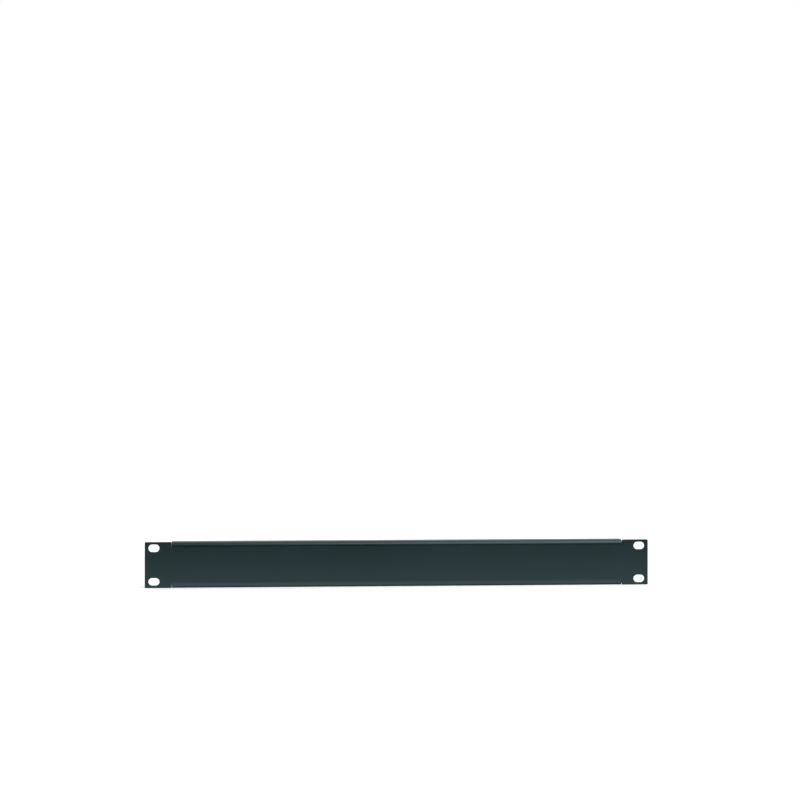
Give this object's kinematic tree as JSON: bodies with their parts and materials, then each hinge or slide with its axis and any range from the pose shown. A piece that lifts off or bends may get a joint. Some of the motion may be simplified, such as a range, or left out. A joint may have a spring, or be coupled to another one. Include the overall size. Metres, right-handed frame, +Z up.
{
  "type": "rack blanking panel",
  "caption": "Folded sheet-metal panel that closes one unit of a rack: flat slotted ears at both ends, and flanges folded back along the top and the bottom between them.",
  "frame": {"origin": "centre of the four rack slots, on the plane of the sheet's back, which meets the rack rails", "axes": "+X along the panel, to the right as seen from the front; +Y back into the rack; +Z up"},
  "size_m": [0.4826, 0.015, 0.0436],
  "materials": {
    "powder_coat": "satin black powder coat with a fine, faintly uneven surface"
  },
  "bodies": {
    "root": {"blanking_panel": "powder_coat"}
  },
  "joints": []
}
